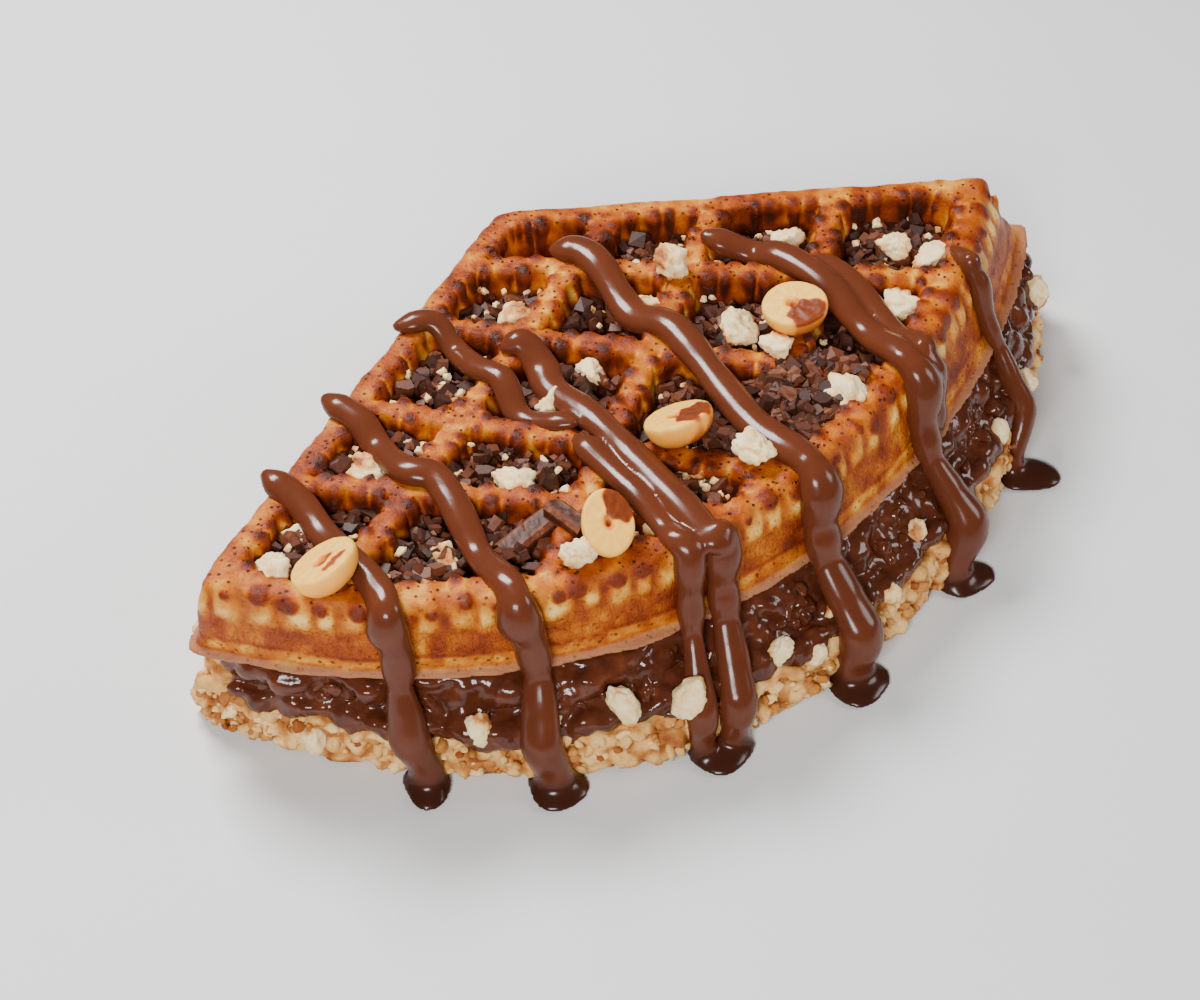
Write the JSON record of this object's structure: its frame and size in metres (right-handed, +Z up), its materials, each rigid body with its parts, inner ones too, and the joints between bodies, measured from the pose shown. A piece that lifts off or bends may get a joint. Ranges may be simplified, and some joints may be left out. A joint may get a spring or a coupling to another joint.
{
  "type": "belgian waffle",
  "caption": "Wedge of deep grid waffle on a chocolate cream layer and a lower waffle, with sauce, chips and nuts on top.",
  "frame": {"origin": "centre of the part's footprint, on the surface that it stands on", "axes": "+Z up, +X along the wedge's longer side, the round front facing -Y and +X"},
  "size_m": [0.188, 0.1568, 0.0547],
  "materials": {
    "waffle_top": "golden baked batter with browned ridges, topped with glossy chocolate sauce, chips and nuts",
    "cream_filling": "glossy chocolate cream with bits of nut",
    "waffle_bottom": "pale torn waffle edge with golden crumbs",
    "hazelnut": "blanched roasted hazelnut, cream with brown patches"
  },
  "bodies": {
    "root": {"waffle_top": "waffle_top", "cream_filling": "cream_filling", "waffle_bottom": "waffle_bottom", "hazelnut_1": "hazelnut", "hazelnut_2": "hazelnut", "hazelnut_3": "hazelnut", "hazelnut_4": "hazelnut"}
  },
  "joints": []
}
